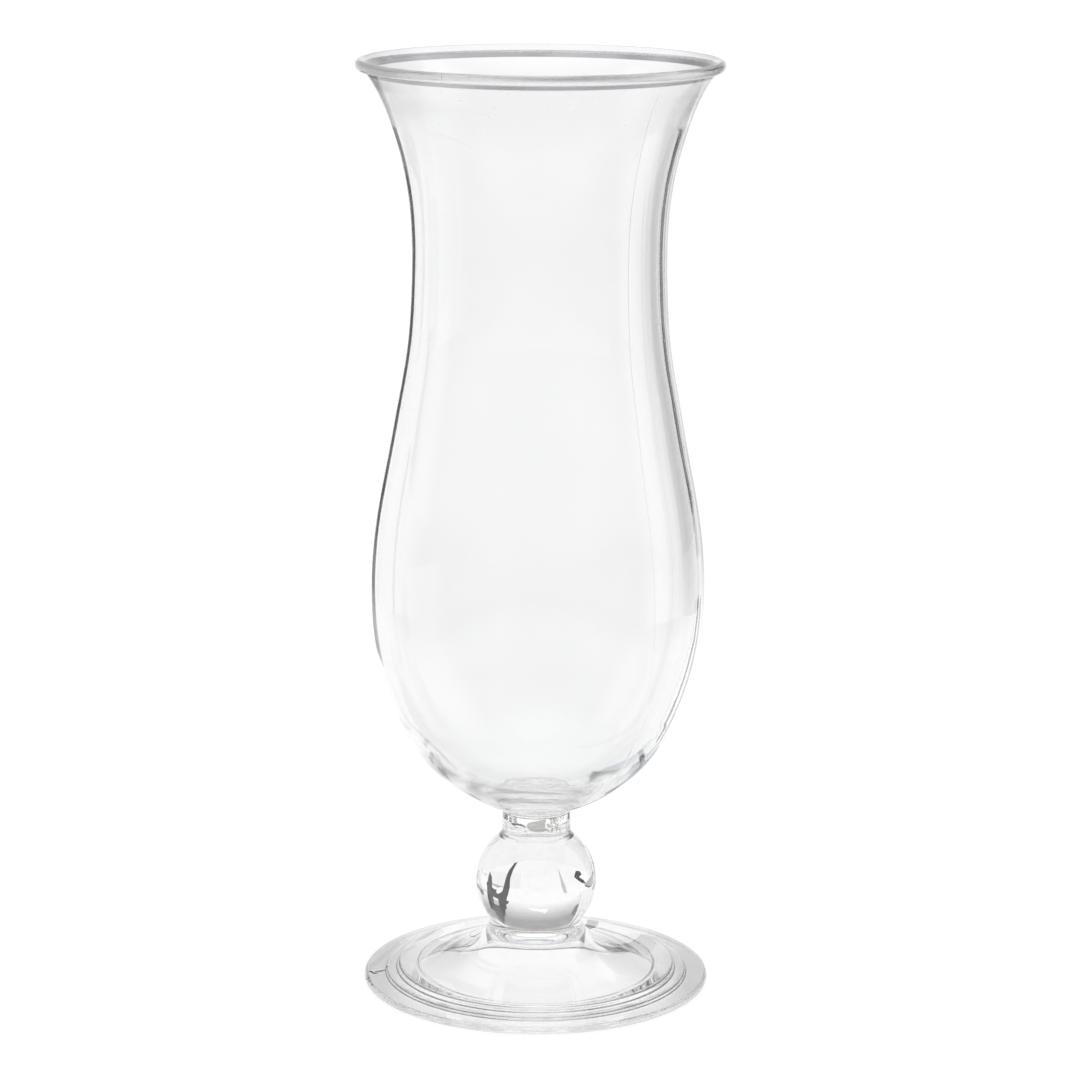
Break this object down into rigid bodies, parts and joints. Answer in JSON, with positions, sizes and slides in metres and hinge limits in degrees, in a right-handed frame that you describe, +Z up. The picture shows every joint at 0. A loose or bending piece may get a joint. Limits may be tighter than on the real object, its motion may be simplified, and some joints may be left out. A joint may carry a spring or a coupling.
{
  "type": "hurricane glass",
  "caption": "Clear plastic hurricane glass: tall waisted bowl with a beaded rim, standing on a short neck, ball stem and stepped round foot; holds a long mixed drink.",
  "frame": {"origin": "centre of the plane the foot stands on, on the axis of the bowl", "axes": "+Z up along the axis from foot to rim; X and Y are free, because every piece is turned about Z; the picture looks along +Y"},
  "size_m": [0.0794, 0.0794, 0.2064],
  "materials": {
    "clear_plastic": "polished clear moulding, colourless with a faint lilac cast where it is thick",
    "cured_bond": "clear cured adhesive with small trapped bubbles"
  },
  "bodies": {
    "root": {"bowl": "clear_plastic", "neck_bond": "cured_bond", "ball_stem": "clear_plastic", "foot_bond": "cured_bond", "foot": "clear_plastic"}
  },
  "joints": []
}
